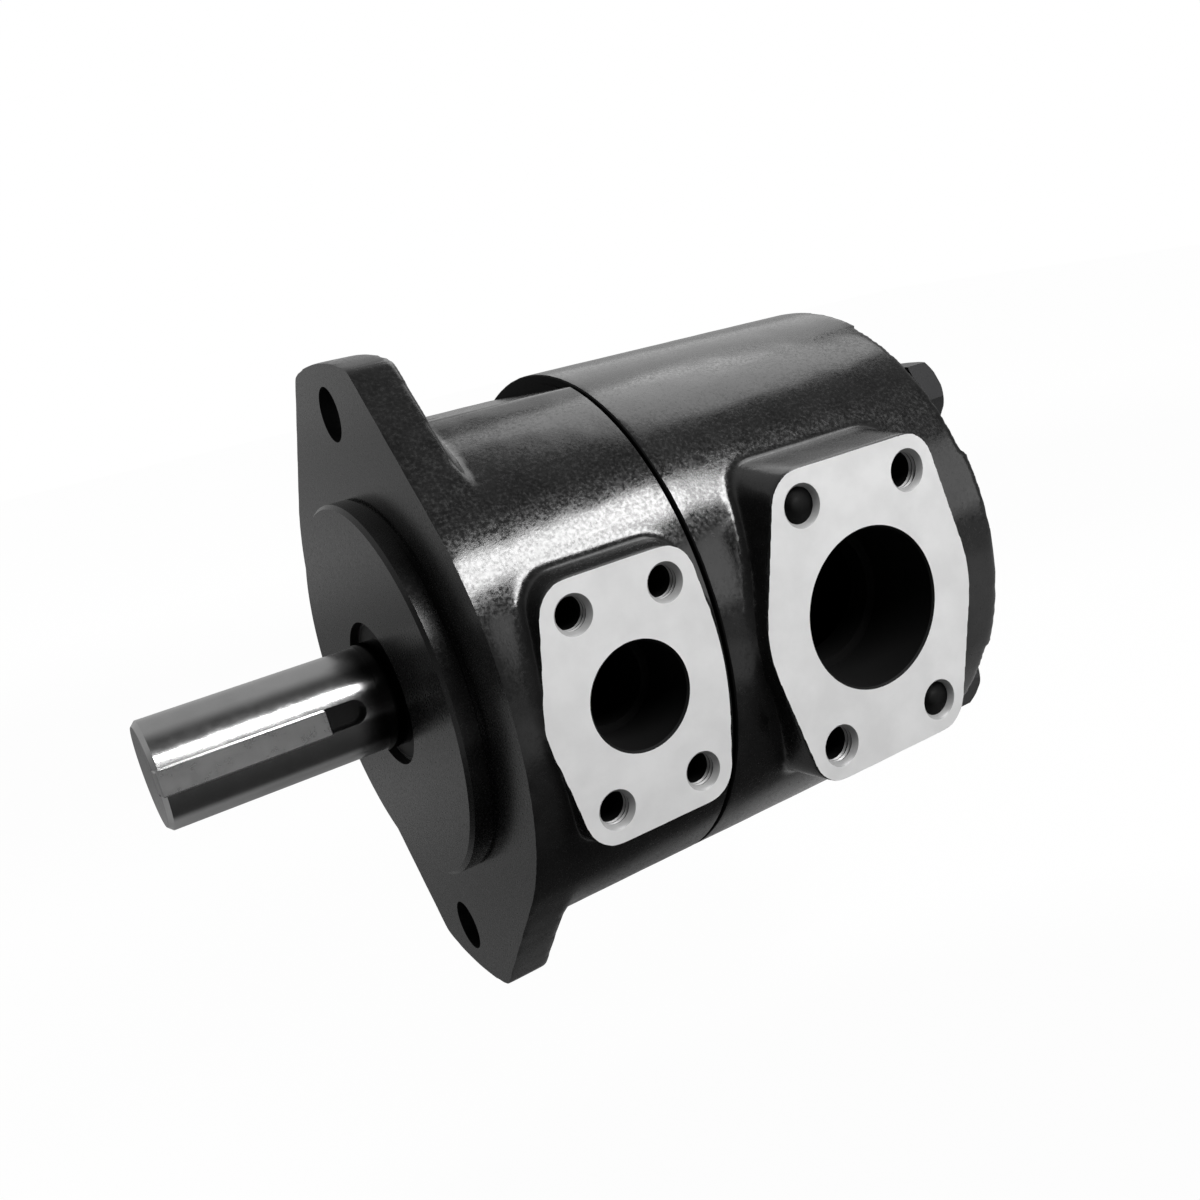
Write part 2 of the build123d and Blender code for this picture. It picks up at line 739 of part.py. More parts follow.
def make_locating_pins():
    """Two pins that line the cam ring up with both plates."""
    reach = plate_t / 3 - screw_gap
    return Compound(children=[rod(pin_r, cam_x0 - reach, cam_x1 + reach, y, z)
                              for y, z in fastener_places(-fastener_angle)])


# ---- write every piece ----

def main():
    os.makedirs("parts", exist_ok=True)
    save(make_front_body(), "front_body")
    save(make_rear_cover(), "rear_cover")
    save(make_cover_bolts(), "cover_bolts")
    save(torus(body_seal_r, body_seal_section_r, seam_x - body_seal_section_r), "body_o_ring")
    save(make_drive_shaft(), "drive_shaft")
    save(make_shaft_key(), "shaft_key")
    save(make_seal_case(), "shaft_seal_case")
    save(make_seal_lip(), "shaft_seal_lip")
    save(lip_spring(), "seal_garter_spring")
    save(make_outer_race(), "bearing_outer_race")
    save(make_inner_race(), "bearing_inner_race")
    save(make_balls(), "bearing_balls")
    save(make_cage(), "bearing_cage")
    save(make_bearing_retaining_ring(), "bearing_retaining_ring")
    save(make_shaft_snap_ring(), "shaft_snap_ring")
    save(make_cam_ring(), "cam_ring")
    save(make_rotor(), "rotor")
    for number, angle in enumerate(vane_angles, start=1):
        save(make_vane(angle), "vane_%02d" % number)
    save(make_outlet_side_plate(), "outlet_side_plate")
    save(make_inlet_side_plate(), "inlet_side_plate")
    save(make_cartridge_screws(), "cartridge_screws")
    save(make_locating_pins(), "locating_pins")
    seal_x = rim_groove_x0() + groove_w - ring_section_r
    save(torus(cartridge_r + bore_gap - ring_section_r, ring_section_r, seal_x), "plate_o_ring")
    backup_outer = cartridge_r + bore_gap
    save(ring(backup_outer, backup_outer - 2 * ring_section_r, rim_groove_x0(), rim_groove_x0() + backup_w),
         "plate_backup_ring")
    save(torus(boss_seal_r, ring_section_r, inlet_plate_x1 + ring_section_r), "boss_o_ring")
    save(ring(bushing_r, bushing_bore_r, bushing_x0, bushing_x1), "rear_bushing")


main()
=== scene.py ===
import json
import math
import bmesh
import bpy
from mathutils import Euler, Matrix, Vector


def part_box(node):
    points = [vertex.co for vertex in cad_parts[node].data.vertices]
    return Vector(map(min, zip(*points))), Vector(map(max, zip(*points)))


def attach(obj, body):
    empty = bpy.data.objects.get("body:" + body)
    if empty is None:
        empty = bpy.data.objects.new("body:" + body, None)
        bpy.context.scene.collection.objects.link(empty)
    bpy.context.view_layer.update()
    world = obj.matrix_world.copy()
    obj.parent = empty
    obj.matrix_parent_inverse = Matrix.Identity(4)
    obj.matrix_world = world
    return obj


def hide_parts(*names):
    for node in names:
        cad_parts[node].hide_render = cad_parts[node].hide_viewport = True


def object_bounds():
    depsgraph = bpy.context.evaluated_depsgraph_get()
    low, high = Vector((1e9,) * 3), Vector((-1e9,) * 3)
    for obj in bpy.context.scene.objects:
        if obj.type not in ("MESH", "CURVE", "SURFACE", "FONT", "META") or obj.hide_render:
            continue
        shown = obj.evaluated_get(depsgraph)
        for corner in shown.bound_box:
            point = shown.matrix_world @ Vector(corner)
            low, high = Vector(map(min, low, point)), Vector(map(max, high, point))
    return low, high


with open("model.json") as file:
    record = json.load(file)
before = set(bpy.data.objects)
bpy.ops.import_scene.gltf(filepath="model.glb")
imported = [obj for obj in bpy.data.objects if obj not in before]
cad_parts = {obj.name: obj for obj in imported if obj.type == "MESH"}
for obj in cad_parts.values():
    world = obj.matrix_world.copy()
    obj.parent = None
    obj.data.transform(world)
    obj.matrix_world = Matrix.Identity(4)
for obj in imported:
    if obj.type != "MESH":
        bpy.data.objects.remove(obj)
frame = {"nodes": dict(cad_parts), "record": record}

# Hydraulic vane pump: the two castings are modelled here over their solids, every other piece keeps its
# solid, and all get their materials. Shapes are drawn in millimetres in the frame's axes: +X along the
# shaft from the mounting flange to the cover, -Y out of the two ports, +Z up through one mounting ear.

cad_low, cad_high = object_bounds()
scene = bpy.context.scene
nodes = frame["nodes"]
mounts = {mount["name"]: mount for mount in frame["record"]["mounts"]}
MM = 0.001


def in_mm(metres):
    """A length of the frame in millimetres, to the nearest micron."""
    return round(metres / MM, 3)


def box_mm(node):
    """Lowest and highest corner of a CAD node, in millimetres."""
    return [[in_mm(value) for value in corner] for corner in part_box(node)]


# ---- sizes read from the frame ----
front_low, front_high = box_mm("front_body")
cover_low, cover_high = box_mm("rear_cover")
seal_high = box_mm("shaft_seal_case")[1]
race_low, race_high = box_mm("bearing_outer_race")
plate_low, plate_high = box_mm("outlet_side_plate")
bushing_low, bushing_high = box_mm("rear_bushing")
BODY_R = front_high[1]
PILOT_H = -front_low[0]
PILOT_R = mounts["pilot"]["dims"]["r_mm"]
MOUNT_Z = mounts["mounting_bolts"]["dims"]["spacing_y_mm"] / 2
MOUNT_HOLE_R = mounts["mounting_bolts"]["dims"]["hole_r_mm"]
SEAM_X = cover_low[0]
COVER_END_X = cover_high[0]
SHAFT_END_X = box_mm("drive_shaft")[0][0]
CARTRIDGE_R = plate_high[1]

# ---- front casting ----
FLANGE_T = 15.5
EAR_MARGIN = 16.0
EAR_CORNER_R = 5.0
EAR_CORNER_Y = 23.5
FLANGE_END_R = MOUNT_Z + EAR_MARGIN
EAR_RELIEF_R = 14.5
EAR_RELIEF_DEPTH = 14.0
FLAT_Z = 82.0
FLAT_TILT = -3.0
FLAT_HALF_W = 60.0
FLAT_CUT_H = 20.0
BARREL_START_X = 2.0
PILOT_EDGE = 1.2
PILOT_UNDERCUT_W = 1.2
PILOT_UNDERCUT_H = 1.0
PILOT_SINK = 6.0

# ---- cover ----
COVER_EDGE_R = 1.0
COVER_RELIEF_R = 33.0
COVER_RELIEF_DEPTH = 2.2
BOLT_INSET = 13.5
BOLT_CIRCLE_R = BODY_R - BOLT_INSET
BOLT_ANGLES = (45, 135, 225, 315)
BOLT_SEAT_R = 15.0
BOLT_SEAT_DEPTH = 2.0

# ---- seam between the castings: a narrow slot with a broken edge, in painted shade ----
SEAM_SLOT = 0.65
SEAM_DEPTH = 3.2
SEAM_EDGE_DEPTH = 0.5
SEAM_EDGE_W = 3.9
SEAM_EDGE_H = 3.0

# ---- ports ----
PORT_EDGE = 0.7
PAD_DEPTH = 34.0
PAD_INSET = 0.6
PAD_SPREAD = 2.6
HOLE_DEPTH = 27.0
DRILL_UNDERSIZE = 0.6
DRILL_TOP = 2.0
THREAD_DEPTH = 5.4
THREAD_PITCH = 1.6
THREAD_H = 0.75
HOLE_EDGE = 0.6
HOLE_EDGE_UNDERSIZE = 0.1

# ---- sand-cast surface ----
CAST_STOCK = 1.5
VOXEL = 1.3
SMOOTH_ROUNDS = 6
SKIN = 0.10
SKIN_SCALE = 9.0
SHARP_ANGLE = 40.0

# How far cutters run past what they cut.
BORE_OVERRUN = 2.0
HOLE_OVERRUN = 1.5
MOUNT_OVERRUN = 5.0
END_OVERRUN = 14.0
FACE_OVERRUN = 10.0
FLAT_OVERRUN = 9.0
FLAT_UNDERRUN = 1.0
SOCKET_OVERRUN = 3.5
CHAMBER_OVERRUN = 4.5
HOLLOW_OVERRUN = 4.0
CUT_REACH = 40.0
CUT_HALF_W = 130.0

# ---- hollows: bearing bore, pressure chamber, cartridge socket and suction chamber ----
SEAL_STOP_H = 2.5
SEAL_STOP_W = 3.0
SHAFT_SPACE_R = 25.9
POCKET_END_X = 33.4
CHAMBER_LEDGE = 4.0
SOCKET_GAP = 0.05
SUCTION_GAP = 2.5
COVER_WALL = 24.0
BOSS_R = 31.0
BOSS_FACE_X = 122.0
OIL_POCKET_R = 13.0
OIL_POCKET_W = 4.0

# ---- shaft: painted shade in the keyway and on the seal journal, and a darker end face ----
KEYWAY_SHADE_TOP_R = 16.2
KEYWAY_SHADE_FULL_R = 15.6
END_SKIN = 0.1
END_DARKENING = 0.6
JOURNAL_SHADE_START_X = -24.0
JOURNAL_SHADE_FULL_X = -14.0


def port_sizes(name, face, **chosen):
    """A port's place, bore and bolt pattern from the record's mounts, with the sizes chosen here.

    mill gives the stretch along X over which the port's face is cut.
    """
    hole = mounts[name + "_port"]
    bolts = mounts[name + "_bolts"]["dims"]
    return dict(chosen, face=face, x=in_mm(hole["pos_m"][0]), bore=hole["dims"]["r_mm"],
                bolt_x=bolts["spacing_x_mm"], bolt_z=bolts["spacing_y_mm"], bolt_r=bolts["hole_r_mm"])


OUTLET = port_sizes("outlet", -front_low[1], mouth=22.0, passage=13.2, depth=44.5, pad_r=31.3, corner_r=11.1,
                    mill=(-FACE_OVERRUN, SEAM_X + FACE_OVERRUN))
INLET = port_sizes("inlet", -cover_low[1], mouth=28.0, passage=22.0, depth=58.5, pad_r=42.5, corner_r=12.0,
                   mill=(60.0, COVER_END_X + END_OVERRUN))


# ---- shader nodes ----

def new_material(name):
    """Node material with a Principled shader; returns the material, its nodes and the shader."""
    material = bpy.data.materials.new(name)
    material.use_nodes = True
    tree = material.node_tree
    return material, tree, principled(tree)


def principled(tree):
    return next(node for node in tree.nodes if node.type == "BSDF_PRINCIPLED")


def noise(tree, scale, detail, roughness=0.55):
    """Noise in object space, so the grain rides with the piece."""
    coord = tree.nodes.new("ShaderNodeTexCoord")
    texture = tree.nodes.new("ShaderNodeTexNoise")
    texture.inputs["Scale"].default_value = scale
    texture.inputs["Detail"].default_value = detail
    texture.inputs["Roughness"].default_value = roughness
    tree.links.new(coord.outputs["Object"], texture.inputs["Vector"])
    return texture.outputs["Fac"]


def grey(value):
    return (value, value, value)


def vary(tree, source, low, high, socket):
    """Drive a socket between two colours by the middle of a noise's range."""
    node = tree.nodes.new("ShaderNodeValToRGB")
    for element, position, colour in zip(node.color_ramp.elements, (0.35, 0.65), (low, high)):
        element.position = position
        element.color = (*colour, 1.0)
    tree.links.new(source, node.inputs["Fac"])
    tree.links.new(node.outputs["Color"], socket)


def add_bump(tree, shader, height, depth_mm, under=None):
    """Bump from a height value; 'under' is a coarser bump that it lies on."""
    bump = tree.nodes.new("ShaderNodeBump")
    bump.inputs["Strength"].default_value = 1.0
    bump.inputs["Distance"].default_value = depth_mm * MM
    tree.links.new(height, bump.inputs["Height"])
    if under is not None:
        tree.links.new(under, bump.inputs["Normal"])
    tree.links.new(bump.outputs["Normal"], shader.inputs["Normal"])
    return bump.outputs["Normal"]


def map_range(tree, value, start, stop, low=0.0, high=1.0, interpolation="SMOOTHSTEP"):
    """From low at start to high at stop."""
    node = tree.nodes.new("ShaderNodeMapRange")
    node.interpolation_type = interpolation
    node.inputs["From Min"].default_value = start
    node.inputs["From Max"].default_value = stop
    node.inputs["To Min"].default_value = low
    node.inputs["To Max"].default_value = high
    tree.links.new(value, node.inputs["Value"])
    return node.outputs["Result"]


def math_node(tree, operation, first, second):
    """Math node on two sockets or numbers."""
    node = tree.nodes.new("ShaderNodeMath")
    node.operation = operation
    for value, socket in zip((first, second), node.inputs):
        if isinstance(value, float):
            socket.default_value = value
        else:
            tree.links.new(value, socket)
    return node.outputs["Value"]


def separate(tree, vector):
    """The X, Y and Z outputs of a vector."""
    node = tree.nodes.new("ShaderNodeSeparateXYZ")
    tree.links.new(vector, node.inputs["Vector"])
    return node.outputs


def length(tree, vector):
    node = tree.nodes.new("ShaderNodeVectorMath")
    node.operation = "LENGTH"
    tree.links.new(vector, node.inputs[0])
    return node.outputs["Value"]


# ---- materials ----

def cast_paint(name, base, rough_low, rough_high, coarse_mm, fine_mm, grain_scale):
    """Gloss black paint over a sand casting: soft orange peel with grainy highlights."""
    material, tree, shader = new_material(name)
    shader.inputs["Specular IOR Level"].default_value = 0.5
    shade = noise(tree, scale=90.0, detail=5.0, roughness=0.6)
    vary(tree, shade, grey(base * 0.7), grey(base * 1.3), shader.inputs["Base Color"])
    patch = noise(tree, scale=900.0, detail=4.0, roughness=0.6)
    vary(tree, patch, grey(rough_low), grey(rough_high), shader.inputs["Roughness"])
    coarse = noise(tree, scale=grain_scale * 0.3, detail=2.0, roughness=0.5)
    under = add_bump(tree, shader, coarse, coarse_mm)
    grain = noise(tree, scale=grain_scale, detail=2.0, roughness=0.6)
    add_bump(tree, shader, grain, fine_mm, under)
    return material


def machined(name, base, roughness, grain_mm, metallic=1.0, stain=0.12):
    """Milled or ground metal with faint tool grain and slight staining."""
    material, tree, shader = new_material(name)
    shader.inputs["Metallic"].default_value = metallic
    shade = noise(tree, scale=60.0, detail=6.0, roughness=0.6)
    vary(tree, shade, grey(base * (1 - stain)), grey(base), shader.inputs["Base Color"])
    wear = noise(tree, scale=240.0, detail=6.0, roughness=0.7)
    vary(tree, wear, grey(roughness * 0.85), grey(roughness * 1.15), shader.inputs["Roughness"])
    add_bump(tree, shader, noise(tree, scale=1500.0, detail=3.0, roughness=0.6), grain_mm)
    return material


def shaft_steel(name, base, roughness):
    """Ground steel with painted shade on the seal journal and in the keyway behind the key, and a darker end
    face.
    """
    material = machined(name, base, roughness, grain_mm=0.0012)
    tree = material.node_tree
    shader = principled(tree)
    bright = shader.inputs["Base Color"].links[0].from_socket
    place = tree.nodes.new("ShaderNodeTexCoord").outputs["Object"]
    along = separate(tree, place)["X"]
    across = tree.nodes.new("ShaderNodeVectorMath")
    across.operation = "MULTIPLY"
    across.inputs[1].default_value = (0.0, 1.0, 1.0)
    tree.links.new(place, across.inputs[0])
    radius = length(tree, across.outputs["Vector"])
    end_x = SHAFT_END_X * MM
    skin_x = (SHAFT_END_X + END_SKIN) * MM
    # painted shade on the keyway's floor behind the key, below a radius from the axis
    below_top = map_range(tree, radius, KEYWAY_SHADE_TOP_R * MM, KEYWAY_SHADE_FULL_R * MM)
    keyway_shade = math_node(tree, "MULTIPLY", below_top, map_range(tree, along, end_x, skin_x))
    # painted shade on the seal journal, deepening towards the flange
    journal_shade = map_range(tree, along, JOURNAL_SHADE_START_X * MM, JOURNAL_SHADE_FULL_X * MM)
    end = math_node(tree, "MULTIPLY", END_DARKENING, map_range(tree, along, skin_x, end_x))
    dark = math_node(tree, "MAXIMUM", math_node(tree, "MAXIMUM", keyway_shade, journal_shade), end)
    blend = tree.nodes.new("ShaderNodeMix")
    blend.data_type = "RGBA"
    factor, colour_a, colour_b = (blend.inputs[i] for i in (0, 6, 7))
    tree.links.new(dark, factor)
    tree.links.new(bright, colour_a)
    # colour of the painted shade and of the darker end face
    colour_b.default_value = (0.05, 0.05, 0.05, 1.0)
    tree.links.new(blend.outputs[2], shader.inputs["Base Color"])
    return material


def tinted(name, colour, roughness, metallic, bump_mm, specular=0.5):
    """Plain coloured material with slight variation and grain."""
    material, tree, shader = new_material(name)
    shader.inputs["Metallic"].default_value = metallic
    shader.inputs["Specular IOR Level"].default_value = specular
    shader.inputs["Roughness"].default_value = roughness
    shade = noise(tree, scale=80.0, detail=4.0)
    vary(tree, shade, tuple(c * 0.8 for c in colour), colour, shader.inputs["Base Color"])
    add_bump(tree, shader, noise(tree, scale=400.0, detail=3.0), bump_mm)
    return material


CAST = cast_paint("black_cast_paint", 0.011, 0.10, 0.28, coarse_mm=0.008, fine_mm=0.016, grain_scale=1300.0)
FLANGE_PAINT = cast_paint("flange_face_paint", 0.014, 0.20, 0.30, coarse_mm=0.006, fine_mm=0.002,
                          grain_scale=420.0)
# Near-black, barely glossy paint as painted shade in the seam's groove and on the faces at the seam.
SEAM_SHADE = tinted("painted_shade_seam", grey(0.004), 0.7, 0.0, 0.01, specular=0.2)
PAD_METAL = machined("machined_port_face", 0.84, 0.5, 0.012, metallic=0.2, stain=0.1)
# Near-black, barely glossy paint as painted shade inside the bores, holes and hollows of the castings.
BORE_SHADE = tinted("painted_shade_bore", grey(0.004), 0.7, 0.0, 0.01, specular=0.2)
THREAD = machined("thread_steel", 0.4, 0.45, 0.01, metallic=0.2)
SHAFT = shaft_steel("polished_shaft_painted_shade", 0.56, 0.17)
KEY = machined("key_steel", 0.5, 0.3, 0.003)
BOLT = tinted("black_bolt", (0.02, 0.02, 0.021), 0.4, 0.6, 0.02)
RUBBER = tinted("seal_rubber", grey(0.015), 0.6, 0.0, 0.01)
PRESSED = machined("pressed_steel", 0.35, 0.4, 0.01)
SPRING = machined("spring_steel", 0.3, 0.35, 0.006)
BEARING = machined("bearing_steel", 0.7, 0.12, 0.001)
HARD = machined("hardened_steel", 0.5, 0.25, 0.003)
PLATE = tinted("lapped_bronze", (0.5, 0.36, 0.16), 0.3, 1.0, 0.003)
BACKUP = tinted("backup_plastic", (0.7, 0.66, 0.58), 0.5, 0.0, 0.01)

# The vanes aren't listed: they are hardened steel like the rotor.
NODE_MATERIALS = {
    "front_body": CAST, "rear_cover": CAST, "cover_bolts": BOLT, "body_o_ring": RUBBER,
    "shaft_seal_case": PRESSED, "shaft_seal_lip": RUBBER, "seal_garter_spring": SPRING,
    "bearing_outer_race": BEARING, "bearing_inner_race": BEARING, "bearing_balls": BEARING,
    "bearing_cage": PRESSED, "bearing_retaining_ring": SPRING, "shaft_snap_ring": SPRING,
    "drive_shaft": SHAFT, "shaft_key": KEY, "cam_ring": HARD, "rotor": HARD,
    "outlet_side_plate": PLATE, "inlet_side_plate": PLATE, "cartridge_screws": BOLT, "locating_pins": BEARING,
    "plate_o_ring": RUBBER, "plate_backup_ring": BACKUP, "boss_o_ring": RUBBER, "rear_bushing": PLATE,
}

for node_name, node in nodes.items():
    node.data.materials.clear()
    node.data.materials.append(NODE_MATERIALS.get(node_name, HARD))


# ---- mesh helpers: shapes are drawn in millimetres and scaled once ----

def mesh_object(name, bm, material):
    """Turn a bmesh drawn in millimetres into an object in metres."""
    bmesh.ops.scale(bm, vec=(MM, MM, MM), verts=bm.verts)
    bmesh.ops.recalc_face_normals(bm, faces=bm.faces)
    mesh = bpy.data.meshes.new(name)
    bm.to_mesh(mesh)
    bm.free()
    obj = bpy.data.objects.new(name, mesh)
    scene.collection.objects.link(obj)
    mesh.materials.append(material)
    return obj


def prism(name, outline, place, depth, material, spread=0.0):
    """Closed prism on a 2-D outline, spread outward at its far end; place(u, v, w) gives the 3-D point."""
    bm = bmesh.new()
    count = len(outline)
    centre = Vector((sum(p[0] for p in outline) / count, sum(p[1] for p in outline) / count))
    near = [bm.verts.new(place(u, v, 0.0)) for u, v in outline]
    far = []
    for u, v in outline:
        out = (Vector((u, v)) - centre).normalized() * spread
        far.append(bm.verts.new(place(u + out.x, v + out.y, depth)))
    bm.faces.new(near)
    bm.faces.new(list(reversed(far)))
    for i in range(count):
        j = (i + 1) % count
        bm.faces.new((near[j], near[i], far[i], far[j]))
    return mesh_object(name, bm, material)


def turned_points(along, radius, segments, centre, axis):
    """Points of a circle about X, or about -Y for axis 'Y'; one point where the radius is nothing."""
    points = []
    for i in range(segments if radius > 0 else 1):
        turn = 2 * math.pi * i / segments
        a = radius * math.cos(turn)
        b = radius * math.sin(turn)
        if axis == "X":
            points.append((centre[0] + along, centre[1] + a, centre[2] + b))
        else:
            points.append((centre[0] + a, centre[1] - along, centre[2] + b))
    return points


def lathe(name, profile, material, segments, centre=(0.0, 0.0, 0.0), axis="X", closed=False):
    """Solid turned from (along, radius) points: ends on the axis, or a ring if its profile is closed."""
    bm = bmesh.new()
    rings = [[bm.verts.new(p) for p in turned_points(along, radius, segments, centre, axis)]
             for along, radius in profile]
    following = rings[1:] + rings[:1] if closed else rings[1:]
    for first, second in zip(rings, following):
        for i in range(segments):
            j = (i + 1) % segments
            if len(first) == 1:
                bm.faces.new((first[0], second[i], second[j]))
            elif len(second) == 1:
                bm.faces.new((first[i], second[0], first[j]))
            else:
                bm.faces.new((first[i], second[i], second[j], first[j]))
    return mesh_object(name, bm, material)


def disc(name, radius, x0, x1, material, segments, y=0.0, z=0.0):
    """Cylinder along X."""
    return lathe(name, [(x0, 0), (x0, radius), (x1, radius), (x1, 0)], material, segments, (0, y, z))


def box(name, low, high, material):
    bm = bmesh.new()
    bmesh.ops.create_cube(bm, size=1.0)
    bmesh.ops.scale(bm, vec=[h - l for l, h in zip(low, high)], verts=bm.verts)
    bmesh.ops.translate(bm, vec=[(h + l) / 2 for l, h in zip(low, high)], verts=bm.verts)
    return mesh_object(name, bm, material)


def apply_modifiers(obj):
    """Replace the object's mesh with its modified shape."""
    bpy.context.view_layer.update()
    graph = bpy.context.evaluated_depsgraph_get()
    shaped = bpy.data.meshes.new_from_object(obj.evaluated_get(graph), preserve_all_data_layers=True,
                                             depsgraph=graph)
    old = obj.data
    obj.modifiers.clear()
    obj.data = shaped
    bpy.data.meshes.remove(old)


def combine(target, others, operation):
    """Booleans in turn, each keeping the other piece's own material on the faces that it makes."""
    for other in others:
        modifier = target.modifiers.new("combine", "BOOLEAN")
        modifier.operation = operation
        modifier.object = other
        modifier.solver = "EXACT"
        modifier.material_mode = "TRANSFER"
        apply_modifiers(target)
        bpy.data.objects.remove(other)


def union_all(target, others):
    combine(target, others, "UNION")


def cut_all(target, others):
    combine(target, others, "DIFFERENCE")


def polar(radius, degrees):
    return radius * math.cos(math.radians(degrees)), radius * math.sin(math.radians(degrees))


def circle_points(cu, cv, radius, start, stop, step):
    """Points on an arc, from start to stop in degrees."""
    count = max(2, int(abs(stop - start) / step) + 1)
    offsets = [polar(radius, start + (stop - start) * i / (count - 1)) for i in range(count)]
    return [(cu + u, cv + v) for u, v in offsets]


def hull(points):
    """Convex outline round a cloud of 2-D points."""
    points = sorted(set((round(u, 4), round(v, 4)) for u, v in points))

    def half(sequence):
        chain = []
        for p in sequence:
            while len(chain) > 1 and ((chain[-1][0] - chain[-2][0]) * (p[1] - chain[-2][1])
                                      - (chain[-1][1] - chain[-2][1]) * (p[0] - chain[-2][0])) <= 0:
                chain.pop()
            chain.append(p)
        return chain[:-1]

    return half(points) + half(reversed(points))


def smooth_by_angle(obj):
    """Smooth shading except across sharp machined edges."""
    mesh = obj.data
    mesh.polygons.foreach_set("use_smooth", [True] * len(mesh.polygons))
    bm = bmesh.new()
    bm.from_mesh(mesh)
    limit = math.radians(SHARP_ANGLE)
    for edge in bm.edges:
        if len(edge.link_faces) == 2:
            a, b = edge.link_faces
            edge.smooth = a.normal.angle(b.normal, 0.0) < limit and a.material_index == b.material_index
    bm.to_mesh(mesh)
    bm.free()


# ---- outlines and blanks ----

def flange_points():
    """Outline of the two-eared flange in (Y, Z)."""
    corner_z = math.sqrt((FLANGE_END_R - EAR_CORNER_R) ** 2 - EAR_CORNER_Y ** 2)
    cloud = circle_points(0, 0, BODY_R, 0, 360, 2.0)
    half_angle = math.degrees(math.asin(EAR_CORNER_Y / FLANGE_END_R))
    for side_z in (-1, 1):
        cloud += circle_points(0, 0, FLANGE_END_R, side_z * 90 - half_angle, side_z * 90 + half_angle, 2.0)
        for side_y in (-1, 1):
            cloud += circle_points(side_y * EAR_CORNER_Y, side_z * corner_z, EAR_CORNER_R, 0, 360, 10.0)
    return hull(cloud)


def bolt_places(port):
    """The port's four bolt holes, from its centre along X and Z."""
    return [(side_x * port["bolt_x"] / 2, side_z * port["bolt_z"] / 2)
            for side_x in (-1, 1) for side_z in (-1, 1)]


def pad_points(port):
    """Outline of a port pad's blank, about the port's centre."""
    cloud = circle_points(0, 0, port["pad_r"] - PAD_INSET, 0, 360, 3.0)
    for u, v in bolt_places(port):
        cloud += circle_points(u, v, port["corner_r"] - PAD_INSET, 0, 360, 10.0)
    return hull(cloud)


def pad_blank(port):
    """Rough cast pad, proud of the finished face by the machining stock."""
    def place(u, v, w):
        return (port["x"] + u, -port["face"] - CAST_STOCK + w, v)
    return prism("pad_blank", pad_points(port), place, PAD_DEPTH, CAST, spread=PAD_SPREAD)


def soften(obj):
    """Turn a sharp blank into a sand casting: even mesh, rounded edges and a faint uneven skin."""
    remesh = obj.modifiers.new("remesh", "REMESH")
    remesh.mode = "VOXEL"
    remesh.voxel_size = VOXEL * MM
    smooth = obj.modifiers.new("smooth", "SMOOTH")
    smooth.factor = 0.5
    smooth.iterations = SMOOTH_ROUNDS
    texture = bpy.data.textures.new(obj.name + "_skin", "CLOUDS")
    texture.noise_scale = SKIN_SCALE * MM
    texture.noise_depth = 0
    skin = obj.modifiers.new("skin", "DISPLACE")
    skin.texture = texture
    skin.texture_coords = "LOCAL"
    skin.mid_level = 0.5
    skin.strength = SKIN * MM
    apply_modifiers(obj)
    obj.data.materials.clear()
    obj.data.materials.append(CAST)


# ---- machining cuts ----

def bore_cutter(port):
    """Stepped bore with a broken edge at its mouth, in painted shade."""
    face = port["face"]
    bore = port["bore"]
    floor = face - port["depth"]
    step = face - port["mouth"]
    profile = [(floor, 0), (floor, port["passage"]), (step, port["passage"]), (step, bore),
               (face - PORT_EDGE, bore), (face + BORE_OVERRUN, bore + PORT_EDGE + BORE_OVERRUN),
               (face + BORE_OVERRUN, 0)]
    return lathe("bore_cut", profile, BORE_SHADE, 128, (port["x"], 0.0, 0.0), "Y")


def bolt_hole_cutters(centre, face, radius):
    """Tapped hole: a drilled depth in painted shade, then bright threads and a chamfer at the mouth."""
    drill_r = radius - DRILL_UNDERSIZE
    drilled = lathe("drilled_hole_cut", [(face - HOLE_DEPTH, 0), (face - HOLE_DEPTH, drill_r),
                                         (face - DRILL_TOP, drill_r), (face - DRILL_TOP, 0)],
                    BORE_SHADE, 48, centre, "Y")
    start = face - THREAD_DEPTH
    profile = [(start, 0), (start, radius - THREAD_H)]
    for turn in range(int(THREAD_DEPTH / THREAD_PITCH) - 1):
        low = start + turn * THREAD_PITCH
        profile += [(low + 0.5 * THREAD_PITCH, radius), (low + THREAD_PITCH, radius - THREAD_H)]
    edge_r = radius - HOLE_EDGE_UNDERSIZE
    profile += [(face - HOLE_EDGE, edge_r), (face + HOLE_OVERRUN, edge_r + HOLE_EDGE + HOLE_OVERRUN),
                (face + HOLE_OVERRUN, 0)]
    return [drilled, lathe("tapped_hole_cut", profile, THREAD, 64, centre, "Y")]


def port_cutters(port):
    """The port's bore and its four bolt holes."""
    cutters = [bore_cutter(port)]
    for u, v in bolt_places(port):
        cutters += bolt_hole_cutters((port["x"] + u, 0.0, v), port["face"], port["bolt_r"])
    return cutters


def pad_face_cutter(port):
    """Mills a port's face."""
    face = -port["face"]
    x0, x1 = port["mill"]
    return box("pad_cut", (x0, face - CUT_REACH, -CUT_HALF_W), (x1, face, CUT_HALF_W), PAD_METAL)


def end_face_cutter(name, x0, x1, material):
    """Mills all that lies between two planes across the shaft."""
    return box(name, (x0, -CUT_HALF_W, -CUT_HALF_W), (x1, CUT_HALF_W, CUT_HALF_W), material)


def seam_cutter(side):
    """One casting's half of the groove round the seam, its faces in painted shade; side is -1 forward and +1
    rearward.
    """
    rim = BODY_R + SEAM_EDGE_H
    floor = BODY_R - SEAM_DEPTH
    profile = [(0, floor), (0, rim), (SEAM_EDGE_W, rim), (SEAM_SLOT, BODY_R - SEAM_EDGE_DEPTH),
               (SEAM_SLOT, floor)]
    return lathe("seam_groove_cut", [(SEAM_X + side * x, r) for x, r in profile], SEAM_SHADE, 256, closed=True)


